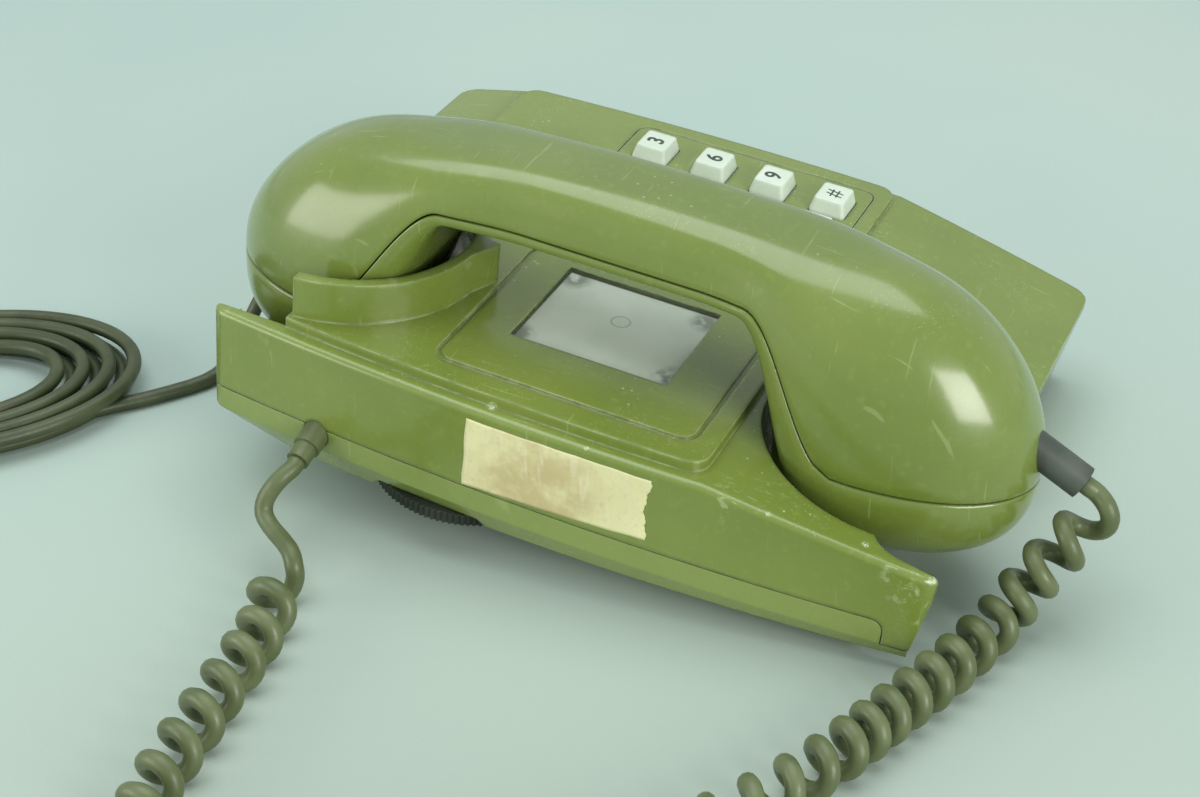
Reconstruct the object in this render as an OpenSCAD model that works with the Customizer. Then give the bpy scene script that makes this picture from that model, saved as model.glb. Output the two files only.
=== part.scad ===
// Push-button desk telephone: a wedge-shaped body with bowed long sides, a handset lying
// lengthwise over the left half, a twelve-key panel, an index card, a curly cord and a line cord.
// Object frame: x to the right, y to the back, z up, z = 0 on the table.
// Slab frame, used for everything but feet and cords: x from the left corner of the body,
// y from its front edge, z from the seam between its two shells, before it is stood at its tilt.

/* [Body] */
// Width of the body at its corners, mm
body_w = 139.5; // [137:0.5:143]
// Length of the body, mm
body_l = 191; // [188:1:196]
// How far each long side bows outward at its middle, mm
side_bow = 5.5; // [2:0.5:7]
// Corner radius of the body seen from above, mm
corner_r = 5; // [4:0.5:7]
// Height of the rim above the seam, mm
rim_h = 22.7; // [22:0.1:24]
// Height of the front edge above the seam, mm
nose_h = 14.5; // [13:0.5:17]
// Height of the front edge on the key side above the seam, mm
key_nose_h = 15.3; // [14:0.1:17]
// Height of the rear edge on the key side above the seam, mm
key_tail_h = 21.6; // [20:0.1:23]
// Length of the sloping apron at the front, mm
apron_l = 57.5; // [56:0.5:59]
// How far the front lip that passes the seam reaches back, mm
lip_l = 10; // [8:0.5:12]
// Half width of the notch under the mouth end of the handset, mm
notch_w = 36.3; // [34:0.1:37]
// Depth of that notch from the front edge, mm
notch_d = 21; // [16:0.5:22]
// Wall thickness of the mouldings, mm
wall = 2.4; // [2:0.1:2.8]
// Depth of the upright skirt below the seam, mm
skirt_h = 6.5; // [6:0.5:8]
// Depth of the base below the seam at the front, mm
base_front = 9.5; // [9:0.5:10.5]
// Depth of the base below the seam at the back, mm
base_back = 15.5; // [14.5:0.5:17]
// Angle at which the body stands, degrees
tilt = 6; // [5:0.5:7]
// Height of the seam above the table at the front, mm
seam_z = 12.3; // [12:0.1:14]

/* [Deck] */
// Height of the raised platform above the rim, mm
platform_rise = 2.8; // [2:0.1:3.5]
// Width of the ledge beside the platform, mm
ledge_w = 4; // [3:0.5:5]
// Height of the cradle wall above the platform, mm
cradle_h = 11; // [8:0.5:14]
// Thickness of the cradle wall, mm
cradle_t = 3; // [2.5:0.5:4]
// Radius of the dish that takes the ear end of the handset, mm
dish_r = 31; // [30:0.5:31.5]
// Radius of the dish that takes its mouth end, mm
mouth_r = 32.5; // [31:0.5:33]
// Length of the index card, mm
card_l = 42; // [36:1:46]
// Width of the index card, mm
card_w = 36; // [30:1:40]

/* [Keys] */
// Distance between neighbouring keys, mm
key_pitch = 17.6; // [16.5:0.1:18]
// Width of a key at its foot, mm
key_w = 11.5; // [10:0.5:13]
// Depth of a key at its foot, mm
key_d = 10.2; // [8:0.1:11]
// Height of a key above its panel, mm
key_rise = 4; // [3.5:0.1:5]
// Stroke of a key, mm
key_travel = 2.5; // [1.5:0.1:3]
// Height of the key panel above the seam, mm
pad_h = 27.4; // [26.5:0.1:29]

/* [Handset] */
// Length of the handset, mm
handset_l = 212; // [208:1:216]
// Half width of the grip, mm
grip_hw = 17.5; // [15:0.5:19]
// Half width of the two ends, mm
end_hw = 26.5; // [25:0.5:27.5]
// Height of the top of the grip above the seam of the body, mm
crown_h = 70.1; // [68:0.1:74]
// Height of the underside of the grip above the seam of the body, mm
arch_h = 51; // [48:0.5:53]
// Wall thickness of the handset, mm
shell_t = 2.2; // [1.8:0.1:2.6]

/* [Volume wheel] */
// Radius of the volume wheel, mm
wheel_r = 25; // [22:0.5:26]
// Thickness of the volume wheel, mm
wheel_t = 3; // [2.5:0.1:3.2]

/* [Cords] */
// Thickness of the curly cord, mm
curl_d = 4.6; // [4:0.1:4.8]
// Outer diameter of the curls, mm
curl_od = 13.4; // [12.5:0.1:14]
// Thickness of the line cord, mm
line_d = 4; // [3.5:0.1:4.1]

/* [Hidden] */
$fn = 48;

olive = [0.42, 0.53, 0.17];
olive_dark = [0.33, 0.42, 0.14];
black = [0.12, 0.13, 0.12];
cream = [0.86, 0.89, 0.83];
rubber = [0.2, 0.2, 0.19];
metal = [0.72, 0.72, 0.7];
board_green = [0.15, 0.36, 0.2];
cord_grey = [0.33, 0.34, 0.26];

gap = 0.3;
platform_z = rim_h + platform_rise;

// Handset bay: the two dishes on one line, each at a fixed distance from a tip of the handset
bay_x = 38.5;
mid_hs_y = body_l / 2 - 0.7;
half_l = handset_l / 2;
mouth_y = mid_hs_y - half_l + 35.2;
ear_y = mid_hs_y + half_l - 28.5;
mouth_end = 46;
ear_end = 42;
seat_z = 23.6;
dish_floor = -1.4;
cradle_in = dish_r + 1.2;
rim_in = 2.5;
rim_drop = 9;
rim_fall = 10.5;

// Key panel
pad_x = bay_x + dish_r + 1;
pad_back = body_l - 20;
pad_front = apron_l + 1.2;
plate_t = 2.2;
key_x0 = body_w - 49.6;
key_y0 = apron_l + 14.1;
plate_x0 = key_x0 - 11.7;
plate_y0 = key_y0 - 8.5;
plate_x1 = key_x0 + 2 * key_pitch + 13.1;
plate_y1 = key_y0 + 3 * key_pitch + 9.3;
key_seat = pad_h - plate_t - gap;
flange_t = 1.2;
stem_l = 2;
stem_r = 2.5;
mat_t = 1;
mat_z = key_seat - flange_t - stem_l - key_travel - mat_t - 0.1;
pcb_t = 1.6;

// Index card recess
card_x = 24.7;
card_y = apron_l + 21;
card_t = 0.4;
window_t = 1.2;

// Base
bottom_slope = (base_back - base_front) / body_l;
tub_h = base_back - skirt_h + 1;
taper_side = 4.5;
taper_back = 22;
taper_front = 2;
taper_y = body_l * taper_front / (taper_front + taper_back);
lip_r = 3;
screw_head = 0.9;
lip_mid = [lip_l + lip_r + gap, -lip_r - gap];
screw_at = [[9, apron_l + 8.5], [body_w - 13, apron_l - 13.5], [body_w - 10, body_l - 31]
    , [pad_x + 5.5, body_l - 31]];
board_x = pad_x + 2.5;
board_y = apron_l + 4;
board_w = body_w - 4 - board_x;
board_l = body_l - 35.5 - board_y;
board_at = [[board_x + 5, board_y + 5], [board_x + board_w - 9, board_y + 5]
    , [board_x + 5, board_y + board_l - 5], [board_x + board_w - 9, board_y + board_l - 5]];
main_z = -5.6;
ringer_at = [46, 84];
ringer_r = 17;

// Volume wheel
wheel_x = wheel_r - side_bow;
wheel_y = body_l - 65;
wheel_top = -10.9;
axle_r = 2.5;
wheel_teeth = 100;
recess_z = wheel_top + gap;

// Hook
plunger_r = 4;
plunger_top = -0.35;
plunger_low = -8.7;

// Feet
foot_h = 3.8;
foot_r = 6;
mid_x = body_w / 2;
foot_x = mid_x - 21.75;
foot_y = body_l / 2 - 25.5;
foot_at = [[-foot_x, 12 - foot_y], [foot_x, -foot_y], [11 - foot_x, foot_y + 1], [foot_x, foot_y]];
mid_y = mid_hs_y * cos(tilt) - seat_z * sin(tilt);

// Cord ends in the slab frame
boot_y = body_l - 32.5;
boot_in = [1, boot_y, -1];
boot_dip = 17;
boot_l = 13.5;
gland_at = [pad_x - 6.5, body_l, -5.2];
gland_l = 6;
hs_boot_at = [bay_x, mid_hs_y - half_l + 6.7, seat_z + 10.2];
hs_boot_dip = 23.7;
hs_boot_l = 18;
hs_boot_r = 4.2;

// Places on the table, object frame
curl_z = curl_od / 2 + 0.2;
boot_tip = to_object(boot_in + boot_l * [-cos(boot_dip), 0, -sin(boot_dip)]);
boot_dir = turn([-cos(boot_dip), 0, -sin(boot_dip)]);
hs_tip = to_object(hs_boot_at + hs_boot_l * [0, -cos(hs_boot_dip), -sin(hs_boot_dip)]);
hs_dir = turn([0, -cos(hs_boot_dip), -sin(hs_boot_dip)]);
gland_tip = to_object(gland_at + [0, gland_l, 0]);
gland_dir = turn([0, 1, 0]);

// Each point of the route is the middle of one curl
curl_route = [[-105.7, 59.3, curl_z], [-117.1, 54.5, curl_z], [-127, 52, curl_z], [-136.6, 50.7, curl_z],
    [-147.6, 49.6, curl_z], [-157.7, 48.3, curl_z], [-168.2, 47.2, curl_z], [-178.5, 45.5, curl_z],
    [-188, 43, curl_z], [-196.5, 38, curl_z], [-202, 30, curl_z], [-203.5, 20.5, curl_z],
    [-201, 11, curl_z], [-196.5, 2, curl_z], [-191.5, -6.5, curl_z], [-186.5, -15, curl_z],
    [-181.5, -23.5, curl_z], [-176, -32, curl_z], [-170, -40.3, curl_z], [-163.5, -48.2, curl_z],
    [-156.3, -55.6, curl_z], [-148.3, -62.4, curl_z], [-139.5, -68.5, curl_z], [-130.3, -74.4, curl_z],
    [-121.4, -79.4, curl_z], [-112.8, -83.4, curl_z], [-104.8, -86.5, curl_z], [-98.2, -88.9, curl_z],
    [-91, -91.5, curl_z], [-83.6, -94.2, curl_z], [-76, -97, curl_z], [-68, -99.5, curl_z],
    [-59.2, -102, curl_z], [-50.5, -104.6, 8], [-44.6, -107.8, 13], [-40.2, -112, 19.5],
    [-35.4, -117, 26.2], [-27.6, -120.4, 31.2]];
curl_start = [boot_tip + gap * boot_dir, boot_tip + 2.5 * boot_dir, [-87.5, 68.2, 21.5], [-90.3, 70.6, 17.3],
    [-92.3, 70.4, 13.9], [-94.8, 66.8, 12.2], [-98, 61.8, 12], [-101.2, 57.7, 12], [-103.4, 55.6, 10]];
curl_end = [hs_tip + 1.8 * hs_dir, hs_tip + gap * hs_dir];

line_z = line_d / 2 + 0.1;
line_route = [gland_tip + gap * gland_dir, gland_tip + 4.2 * gland_dir, [-6.3, 115, 26.3], [-8.2, 120.3, 21],
    [-11.5, 123.5, 14], [-16, 125, 7.5], [-22.5, 125.6, 3.6], [-31.5, 128, line_z], [-44.5, 137, line_z],
    [-55.1, 146.2, line_z], [-66.7, 154.6, line_z], [-79, 161.6, line_z]];
hank_mid = [-65.2, 188.5];
hank_a = 52;
hank_b = 35;
hank_step = line_d + 0.6;
hank_spread = 7;
hank_loops = 4;
hank_u = [0.6, -0.8];
hank_v = [-0.8, -0.6];
hank_out = [[-103.5, 184.4, line_z + hank_step], [-111, 194.9, line_z + 2.6], [-117, 203.4, line_z],
    [-121, 209, line_z], [-123.3, 212.2, line_z]];
plug_at = [-123.3, 212.2];
plug_dir = 125.7;

function to_object(p) = turn(p) + [-mid_x, -mid_y, seam_z];
function turn(p) = [p[0], p[1] * cos(tilt) - p[2] * sin(tilt), p[1] * sin(tilt) + p[2] * cos(tilt)];
function clip(v, a, b) = min(b, max(a, v));
function ease(t) = t * t * (3 - 2 * t);
function unit(v) = v / norm(v);

// Plan outline of the body, drawn in by an inset
function side_x(y) = -side_bow * (1 - pow(2 * y / body_l - 1, 2));
function corner(c, r, a) = [for (i = [0:5]) [c[0] + r * cos(a + 18 * i), c[1] + r * sin(a + 18 * i)]];
function notch_side(g) = [for (i = [0:16]) let (a = 180 * i / 16, c = cos(a))
    [bay_x + (notch_w + g) * sign(c) * pow(abs(c), 0.4), (notch_d + g) * pow(sin(a), 0.4)]];
function outline(g) = let (r = max(1, corner_r - g), k = g + r)
    concat(corner([body_w - side_x(k) - k, k], r, 270)
        , [for (i = [1:15]) let (y = k + (body_l - 2 * k) * i / 16) [body_w - side_x(y) - g, y]]
        , corner([body_w - side_x(k) - k, body_l - k], r, 0)
        , corner([side_x(k) + k, body_l - k], r, 90)
        , [for (i = [15:-1:1]) let (y = k + (body_l - 2 * k) * i / 16) [side_x(y) + g, y]]
        , corner([side_x(k) + k, k], r, 180));
function panel(g) = let (r = 5 - g, x1 = body_w - 1 - g, y0 = pad_front + g, y1 = pad_back - g)
    concat(corner([x1 - side_x(y0 + r) - r, y0 + r], r, 270)
        , [for (i = [1:7]) let (y = y0 + r + (y1 - y0 - 2 * r) * i / 8) [x1 - side_x(y), y]]
        , corner([x1 - side_x(y1 - r) - r, y1 - r], r, 0)
        , corner([pad_x + g + r, y1 - r], r, 90)
        , corner([pad_x + g + r, y0 + r], r, 180));
function saddle(g) = let (r = 5 - g, x0 = ledge_w + g, y0 = apron_l + 1 + g, y1 = ear_y - 2 - g)
    concat([[pad_x + 2 - g, y0], [pad_x + 2 - g, y1], [x0 + side_x(y1), y1]]
        , [for (i = [7:-1:1]) let (y = y0 + r + (y1 - y0 - r) * i / 8) [x0 + side_x(y), y]]
        , corner([x0 + side_x(y0 + r) + r, y0 + r], r, 180));
function roof(p) = (p[0] < pad_x
    ? (p[1] < apron_l ? nose_h + (rim_h - nose_h) * p[1] / apron_l : p[1] < ear_y ? platform_z : rim_h)
    : (p[1] < apron_l ? key_nose_h + (platform_z - key_nose_h) * p[1] / apron_l : platform_z)) - wall;
function floor_z(y) = -base_front - bottom_slope * y + wall;

// Places a slab-frame piece at its tilt on the table
module stand() {
    translate([-mid_x, -mid_y, seam_z]) rotate([tilt, 0, 0]) children();
}

// A prism across the body with its profile given in y and z
module across(profile, x0, x1) {
    translate([x0, 0, 0]) rotate([90, 0, 90]) linear_extrude(x1 - x0) polygon(profile);
}

module slab(shape, z0, z1) {
    translate([0, 0, z0]) linear_extrude(z1 - z0) polygon(shape);
}

module round_rect(x0, y0, x1, y1, r) {
    polygon(concat(corner([x1 - r, y0 + r], r, 270), corner([x1 - r, y1 - r], r, 0)
        , corner([x0 + r, y1 - r], r, 90), corner([x0 + r, y0 + r], r, 180)));
}

// Notch through the front, grown by g
module notch(g) {
    translate([0, 0, -60]) linear_extrude(120)
        polygon(concat(notch_side(g), [[bay_x - notch_w - g, -20], [bay_x + notch_w + g, -20]]));
}

// Dish: a flat-bottomed bowl turned about its own axis, grown by g for its back
function bowl(r, g, top) = let (depth = seat_z - dish_floor + g)
    concat([[0, seat_z - depth], [(r + g) * pow(cos(900 / 11), 0.667), seat_z - depth]]
        , [for (i = [2:11]) let (a = 90 - 90 * i / 11)
            [(r + g) * pow(cos(a), 0.667), seat_z - depth * pow(sin(a), 0.667)]]
        , [[r + g, top], [0, top]]);

module dish(y, r, g, top) {
    translate([bay_x, y, 0]) rotate_extrude($fn = 96) polygon(bowl(r, g, top));
}

// Upper housing: the handset side and the key side have their own profiles along the length
function lip_arc(r) = [for (i = [0:4]) lip_mid + r * [cos(180 - 22.5 * i), sin(180 - 22.5 * i)]];
function foot_edge() = concat([[-1, -skirt_h], [lip_l, -skirt_h]], lip_arc(lip_r + gap), [[body_l + 1, 0]]);
function tail_z(y) = platform_z - (platform_z - key_tail_h) * (y - pad_back - 1) / (body_l - pad_back - 1);
function handset_side() = concat(foot_edge()
    , [[body_l + 1, rim_h], [apron_l, rim_h], [0, nose_h], [-1, nose_h]]);
function key_side() = concat(foot_edge(), [[body_l + 1, tail_z(body_l + 1)], [pad_back + 1, platform_z]
    , [apron_l, platform_z], [0, key_nose_h], [-1, key_nose_h]]);

module housing_body() {
    difference() {
        union() {
            intersection() {
                slab(outline(0), -skirt_h, platform_z);
                union() {
                    across(handset_side(), -20, pad_x + 1);
                    across(key_side(), pad_x, body_w + 20);
                }
            }
            slab(saddle(0), rim_h - 1, platform_z);
            slab(panel(0), platform_z - 1, pad_h);
        }
        notch(0);
    }
}

module housing_room() {
    foot = [[wall + 2, -skirt_h - 1], [body_l, -skirt_h - 1]];
    left = concat(foot, [[body_l, rim_h - wall], [apron_l, rim_h - wall], [wall, nose_h - wall]]);
    right = concat(foot, [[body_l, key_tail_h - wall], [pad_back + 1, platform_z - wall]
        , [apron_l, platform_z - wall], [wall, key_nose_h - wall]]);
    difference() {
        union() {
            intersection() {
                slab(outline(wall), -skirt_h - 1, platform_z);
                union() {
                    across(left, -20, pad_x + wall + 1);
                    across(right, pad_x + wall, body_w + 20);
                }
            }
            slab(saddle(wall), rim_h - wall - 1, platform_z - wall);
        }
        notch(wall);
    }
}

// Slope from the rear left rim into the dish of the ear end, lowered by g for its back
module rim_slope(g) {
    translate([0, body_l + 5, 0]) rotate([90, 0, 0]) linear_extrude(body_l + 7 - ear_y)
        polygon([[rim_in - g, rim_h + 9], [rim_in - g, rim_h - g / 2]
            , [rim_in + rim_fall - g, rim_h - rim_drop - g]
            , [bay_x, rim_h - rim_drop - g], [bay_x, rim_h + 9]]);
}

module front_lean() {
    across([[-2, nose_h + 2], [-0.52, nose_h + 2], [3.8, -skirt_h - 2], [-2, -skirt_h - 2]]
        , -20, body_w + 20);
}

module cradle() {
    translate([bay_x, ear_y, platform_z - 1.5]) linear_extrude(cradle_h + 1.5) difference() {
        circle(cradle_in + cradle_t, $fn = 96);
        circle(cradle_in, $fn = 96);
        translate([-60, -3]) square([120, 60]);
        translate([33, -60]) square([30, 60]);
    }
    translate([0, 0, platform_z - 1.5]) linear_extrude(cradle_h + 1.5)
        polygon([[bay_x - 3, ear_y - cradle_in - cradle_t + 0.3], [bay_x + 6, ear_y - cradle_in - 6.5]
            , [bay_x + 7.5, ear_y - cradle_in - 0.5], [bay_x - 3, ear_y - cradle_in - 0.2]]);
}

module upper_housing() {
    color(olive) stand() difference() {
        union() {
            difference() {
                housing_body();
                housing_room();
            }
            intersection() {
                union() {
                    dish(mouth_y, mouth_r, wall, seat_z + 2);
                    dish(ear_y, dish_r, wall, seat_z + 2);
                    rim_slope(wall);
                }
                union() {
                    housing_body();
                    difference() {
                        slab(outline(wall + gap), -skirt_h, 1);
                        notch(wall + gap);
                    }
                }
            }
            cradle();
            for (p = screw_at)
                translate([p[0], p[1], floor_z(p[1]) + gap])
                    cylinder(h = roof(p) - floor_z(p[1]), r = 4);
        }
        dish(mouth_y, mouth_r, 0, 90);
        dish(ear_y, dish_r, 0, 90);
        rim_slope(0);
        front_lean();
        translate([0, 0, pad_h - plate_t]) linear_extrude(20)
            round_rect(plate_x0 - gap, plate_y0 - gap, plate_x1 + gap, plate_y1 + gap, 4);
        translate([0, 0, pad_h - 20]) linear_extrude(30)
            round_rect(plate_x0 + 2, plate_y0 + 2, plate_x1 - 2, plate_y1 - 2, 2);
        translate([card_x, card_y, platform_z - window_t - card_t]) cube([card_w, card_l, 9]);
        translate([0, 0, platform_z - 0.6]) linear_extrude(4) difference() {
            round_rect(5.7, apron_l + 6, pad_x - 3.5, ear_y - 39.5, 5);
            round_rect(7.1, apron_l + 7.4, pad_x - 4.9, ear_y - 40.9, 3.6);
        }
        translate([bay_x, ear_y, -20]) cylinder(h = 40, r = plunger_r + gap);
        for (p = screw_at)
            translate([p[0], p[1], -20]) cylinder(h = 34, r = 1.5);
        boot_hole();
        gland_hole();
    }
}

module boot_hole() {
    translate(boot_in) rotate([0, -90 - boot_dip, 0]) translate([0, 0, -9]) cylinder(h = 20, r = 3.6);
}

module gland_hole() {
    translate(gland_at - [0, 30, 0]) rotate([-90, 0, 0]) cylinder(h = 40, r = 3.2);
}

// Base
module tub(g) {
    translate([mid_x, taper_y, -skirt_h + 0.01]) mirror([0, 0, 1])
        linear_extrude(tub_h, slices = 1
            , scale = [1 - 2 * taper_side / body_w, 1 - (taper_front + taper_back) / body_l])
        translate([-mid_x, -taper_y]) polygon(outline(g));
}

module below(z) {
    across([[-30, z + bottom_slope * 30], [body_l + 30, z - bottom_slope * (body_l + 30)]
        , [body_l + 30, -90], [-30, -90]], -30, body_w + 30);
}

module base_body() {
    difference() {
        union() {
            slab(outline(0), -skirt_h, -gap);
            tub(0);
        }
        below(-base_front);
        across(concat([[-30, -skirt_h - 0.5], [lip_l + gap, -skirt_h - 0.5]], lip_arc(lip_r)
            , [[lip_mid[0], 30], [-30, 30]]), -30, body_w + 30);
        translate([-30, -30, -60]) cube([body_w + 60, 34, 90]);
        notch(0);
    }
}

module base_room() {
    difference() {
        union() {
            intersection() {
                slab(outline(wall), -skirt_h, 20);
                translate([-30, lip_l + wall, -60]) cube([body_w + 60, body_l, 90]);
            }
            intersection() {
                slab(outline(wall + taper_side + 0.6), -60, -skirt_h + 1);
                across([[lip_l + wall, -skirt_h + 1], [body_l - 3.7, -skirt_h + 1]
                    , [body_l - 3.7 - (tub_h + 1) * taper_back / tub_h, -skirt_h - tub_h]
                    , [lip_l + wall, -skirt_h - tub_h]], -30, body_w + 30);
            }
        }
        below(wall - base_front);
        notch(wall);
    }
}

module base_shell() {
    color(olive_dark) difference() {
        union() {
            stand() difference() {
                base_body();
                base_room();
            }
            difference() {
                for (p = foot_at)
                    translate([p[0], p[1], foot_h]) cylinder(h = 22, r1 = foot_r + 1.2, r2 = foot_r + 3);
                stand() across([[-30, floor_z(-30) - 0.4], [body_l + 30, floor_z(body_l + 30) - 0.4]
                    , [body_l + 30, 60], [-30, 60]], -30, body_w + 30);
            }
            stand() intersection() {
                union() {
                    translate([wheel_x, wheel_y, -30]) cylinder(h = 30 + recess_z + 2, r = wheel_r + 3);
                    for (p = board_at)
                        translate([p[0], p[1], floor_z(p[1]) - 1])
                            cylinder(h = main_z - floor_z(p[1]) + 1, r = 3.5);
                }
                difference() {
                    union() {
                        slab(outline(0), -skirt_h, -gap);
                        tub(0);
                    }
                    below(-base_front);
                }
            }
        }
        stand() {
            translate([wheel_x, wheel_y, -40]) cylinder(h = 40 + recess_z, r = wheel_r + 1, $fn = 96);
            translate([wheel_x, wheel_y, -20]) cylinder(h = 20, r = axle_r);
            for (p = screw_at) {
                translate([p[0], p[1], -40]) cylinder(h = 60, r = 1.7);
                translate([p[0], p[1], -40]) cylinder(h = 40 + floor_z(p[1]) - 1.4, r = 3.2);
            }
            for (p = board_at)
                translate([p[0], p[1], main_z - 4]) cylinder(h = 10, r = 1.2);
            boot_hole();
            gland_hole();
        }
    }
}

// Key panel
module keypad_plate() {
    color(olive) stand() translate([0, 0, pad_h - plate_t]) linear_extrude(plate_t) difference() {
        round_rect(plate_x0, plate_y0, plate_x1, plate_y1, 3.7);
        for (i = [0:2], j = [0:3])
            translate([key_x0 + i * key_pitch, key_y0 + j * key_pitch])
                round_rect(-key_w / 2 - gap, -key_d / 2 - gap, key_w / 2 + gap, key_d / 2 + gap, 1.3);
    }
}

module key(i, j) {
    color(cream) stand() translate([key_x0 + i * key_pitch, key_y0 + j * key_pitch, 0]) {
        hull() {
            translate([0, 0, key_seat - 0.2]) linear_extrude(plate_t + gap + 0.6)
                round_rect(-key_w / 2, -key_d / 2, key_w / 2, key_d / 2, 1);
            translate([0, 0, pad_h + key_rise - 0.5]) linear_extrude(0.5)
                round_rect(-key_w / 2 + 0.9, -key_d / 2 + 0.9, key_w / 2 - 0.9, key_d / 2 - 0.9, 1);
        }
        translate([-key_w / 2 - 1, -key_d / 2 - 1, key_seat - flange_t])
            cube([key_w + 2, key_d + 2, flange_t]);
        translate([0, 0, key_seat - flange_t - stem_l]) cylinder(h = stem_l + 0.5, r = stem_r);
    }
}

module key_1() { key(0, 3); }
module key_2() { key(1, 3); }
module key_3() { key(2, 3); }
module key_4() { key(0, 2); }
module key_5() { key(1, 2); }
module key_6() { key(2, 2); }
module key_7() { key(0, 1); }
module key_8() { key(1, 1); }
module key_9() { key(2, 1); }
module key_star() { key(0, 0); }
module key_0() { key(1, 0); }
module key_hash() { key(2, 0); }

module key_mat() {
    color([0.75, 0.75, 0.72]) stand() {
        translate([0, 0, mat_z]) linear_extrude(mat_t)
            round_rect(plate_x0 + 4, plate_y0 + 4, plate_x1 - 4, plate_y1 - 4, 2);
        for (i = [0:2], j = [0:3])
            translate([key_x0 + i * key_pitch, key_y0 + j * key_pitch, mat_z + mat_t - 0.01]) difference() {
                cylinder(h = stem_l - 0.1, r = stem_r + 1.7);
                translate([0, 0, -0.5]) cylinder(h = stem_l + 1, r = stem_r + 0.4);
            }
    }
}

module keypad_board() {
    color(board_green) stand() translate([0, 0, mat_z - pcb_t]) linear_extrude(pcb_t) difference() {
        round_rect(plate_x0 - 1, plate_y0 - 1, plate_x1 + 1, plate_y1 + 1, 1);
        for (p = post_at())
            translate(p) circle(1.3);
    }
}

function post_at() = [[plate_x0 + 1.4, plate_y0 + 1.4], [plate_x1 - 1.4, plate_y0 + 1.4]
    , [plate_x0 + 1.4, plate_y1 - 1.4], [plate_x1 - 1.4, plate_y1 - 1.4]];

module board_posts() {
    color(olive_dark) stand() for (p = post_at())
        translate([p[0], p[1], mat_z]) {
            cylinder(h = platform_z - wall - mat_z, r = 2.3);
            translate([0, 0, -pcb_t]) cylinder(h = pcb_t + 1, r = 1.3);
        }
}

// Index card under its clear cover
module card_window() {
    color([0.85, 0.9, 0.88, 0.4]) stand() translate([card_x + 0.15, card_y + 0.15, platform_z - window_t])
        cube([card_w - 0.3, card_l - 0.3, window_t]);
}

module index_card() {
    color([0.62, 0.67, 0.62]) stand() translate([card_x + 0.4, card_y + 0.4, platform_z - window_t - card_t])
        cube([card_w - 0.8, card_l - 0.8, card_t]);
}

// Works inside the body
module main_board() {
    color(board_green) stand() translate([0, 0, main_z]) {
        difference() {
            translate([board_x, board_y, 0]) cube([board_w, board_l, pcb_t]);
            for (p = board_at)
                translate([p[0], p[1], -1]) cylinder(h = 6, r = 1.6);
        }
        translate([board_x, board_y, pcb_t]) {
            translate([0.18 * board_w, 0.12 * board_l, 0]) cube([22, 18, 9]);
            translate([0.67 * board_w, 0.2 * board_l, 0]) cylinder(h = 11, r = 5);
            translate([0.67 * board_w, 0.37 * board_l, 0]) cylinder(h = 11, r = 5);
            translate([0.22 * board_w, 0.42 * board_l, 0]) cube([18, 8, 5]);
            translate([0.22 * board_w, 0.56 * board_l, 0]) cube([18, 8, 5]);
            translate([0.2 * board_w, 0.74 * board_l, 0]) cube([12, 14, 8]);
            translate([0.5 * board_w, 0.77 * board_l, 0]) cube([16, 11, 6]);
        }
    }
}

module board_screws() {
    color(metal) stand() for (p = board_at)
        translate([p[0], p[1], main_z + pcb_t]) {
            cylinder(h = 1.6, r = 2.6);
            translate([0, 0, -pcb_t - 3.6]) cylinder(h = pcb_t + 4, r = 1.2);
        }
}

module ringer() {
    color(black) stand() translate([ringer_at[0], ringer_at[1], floor_z(ringer_at[1] - ringer_r) + 0.05]) {
        difference() {
            cylinder(h = 11, r = ringer_r);
            translate([0, 0, 8]) cylinder(h = 5, r = ringer_r - 2);
        }
        translate([0, 0, 7]) cylinder(h = 2.5, r = 6);
    }
}

// Switch hook: a plunger under the ear end and its contacts
module hook_plunger() {
    color(black) stand() translate([bay_x, ear_y, plunger_low]) {
        cylinder(h = plunger_top - plunger_low, r = plunger_r);
        cylinder(h = 1.2, r = plunger_r + 2);
    }
}

module hook_switch() {
    color([0.25, 0.22, 0.2]) stand() {
        translate([bay_x + 9, ear_y - 18, floor_z(ear_y - 18) + 0.05]) cube([14, 12, 6]);
        translate([bay_x + 14, ear_y - 7, plunger_low - 0.9]) cube([4, 2, 3]);
        translate([bay_x + 14, ear_y - 8, plunger_low - 0.9]) cube([4, 10, 0.6]);
        translate([bay_x - 4, ear_y - 2, plunger_low - 0.9]) cube([22, 4, 0.6]);
    }
}

// Volume wheel, knurled round its rim
module volume_wheel() {
    color(black) stand() translate([wheel_x, wheel_y, wheel_top - wheel_t]) linear_extrude(wheel_t)
        difference() {
            polygon([for (i = [0:2 * wheel_teeth - 1]) let (a = 180 * i / wheel_teeth)
                (wheel_r - 0.7 * (i % 2)) * [cos(a), sin(a)]]);
            circle(axle_r + 0.05);
        }
}

module wheel_axle() {
    color(metal) stand() translate([wheel_x, wheel_y, wheel_top - wheel_t - 0.9]) {
        cylinder(h = 0.8, r = axle_r + 1.5);
        cylinder(h = wheel_t + 0.9 + gap + 2.2, r = axle_r);
    }
}

module volume_control() {
    color(metal) stand() translate([wheel_x, wheel_y, recess_z + 2.3]) {
        translate([-7, -7, 0]) cube([14, 14, 5]);
        translate([-5, 7, 0]) cube([10, 3, 1]);
    }
}

module feet() {
    color(rubber) for (p = foot_at)
        translate([p[0], p[1], 0]) cylinder(h = foot_h - 0.02, r1 = foot_r - 0.6, r2 = foot_r);
}

module base_screws() {
    color(metal) stand() for (p = screw_at)
        translate([p[0], p[1], floor_z(p[1]) - 1.4 - screw_head]) difference() {
            union() {
                cylinder(h = screw_head, r = 2.9);
                cylinder(h = 13, r = 1.5);
            }
            translate([-0.5, -4, -0.01]) cube([1, 8, 0.5]);
        }
}

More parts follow.
